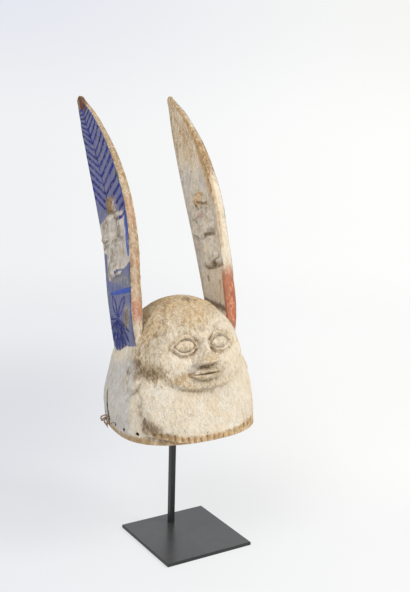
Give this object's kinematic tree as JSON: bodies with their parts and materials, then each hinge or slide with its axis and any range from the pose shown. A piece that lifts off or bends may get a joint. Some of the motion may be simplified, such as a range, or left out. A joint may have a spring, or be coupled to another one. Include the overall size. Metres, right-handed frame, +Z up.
{
  "type": "crest mask",
  "caption": "Carved wooden helmet mask with two tall painted ears, relief figures and a notched collar, held up on a square steel display stand.",
  "frame": {"origin": "middle of the underside of the stand's square plate", "axes": "+Z up, the face looks along -Y, +X is the mask's left; the tall ears sweep back along +Y"},
  "size_m": [0.2488, 0.3241, 0.7274],
  "materials": {
    "carved_wood": "matte pale pigment over carved wood, with blue and red paint on the ears",
    "black_steel": "satin black",
    "fibre": "dull twisted fibre"
  },
  "bodies": {
    "root": {"mask": "carved_wood", "stand_plate": "black_steel", "stand_rod": "black_steel", "rim_tie": "fibre", "rim_tie_short": "fibre"}
  },
  "joints": []
}
